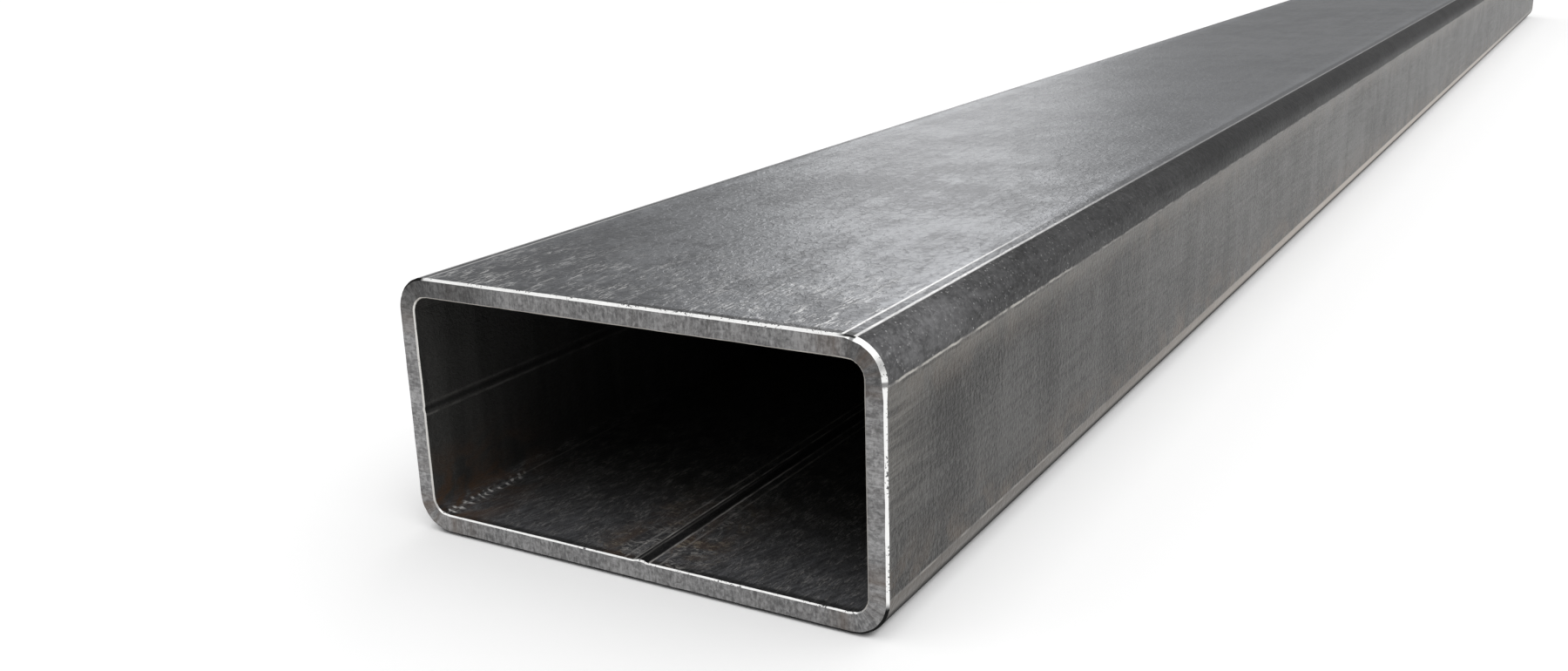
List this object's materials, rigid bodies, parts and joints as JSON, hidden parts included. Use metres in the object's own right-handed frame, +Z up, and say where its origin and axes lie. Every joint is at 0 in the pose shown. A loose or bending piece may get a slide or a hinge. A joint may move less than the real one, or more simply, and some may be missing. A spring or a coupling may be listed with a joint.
{
  "type": "rectangular steel tube",
  "caption": "Straight length of cold-formed rectangular steel tube with rounded corners, an inside weld bead and square sawn, deburred ends; raw structural stock.",
  "frame": {"origin": "middle of the underside, which is the wide face that the tube lies on", "axes": "+X across the width, +Y along the length away from the cut end in the picture, +Z up"},
  "size_m": [0.08, 1, 0.04],
  "materials": {
    "mill_steel": "grey mill scale outside, sawn ends with bright deburred edges, dark bore"
  },
  "bodies": {
    "root": {"rectangular_tube": "mill_steel"}
  },
  "joints": []
}
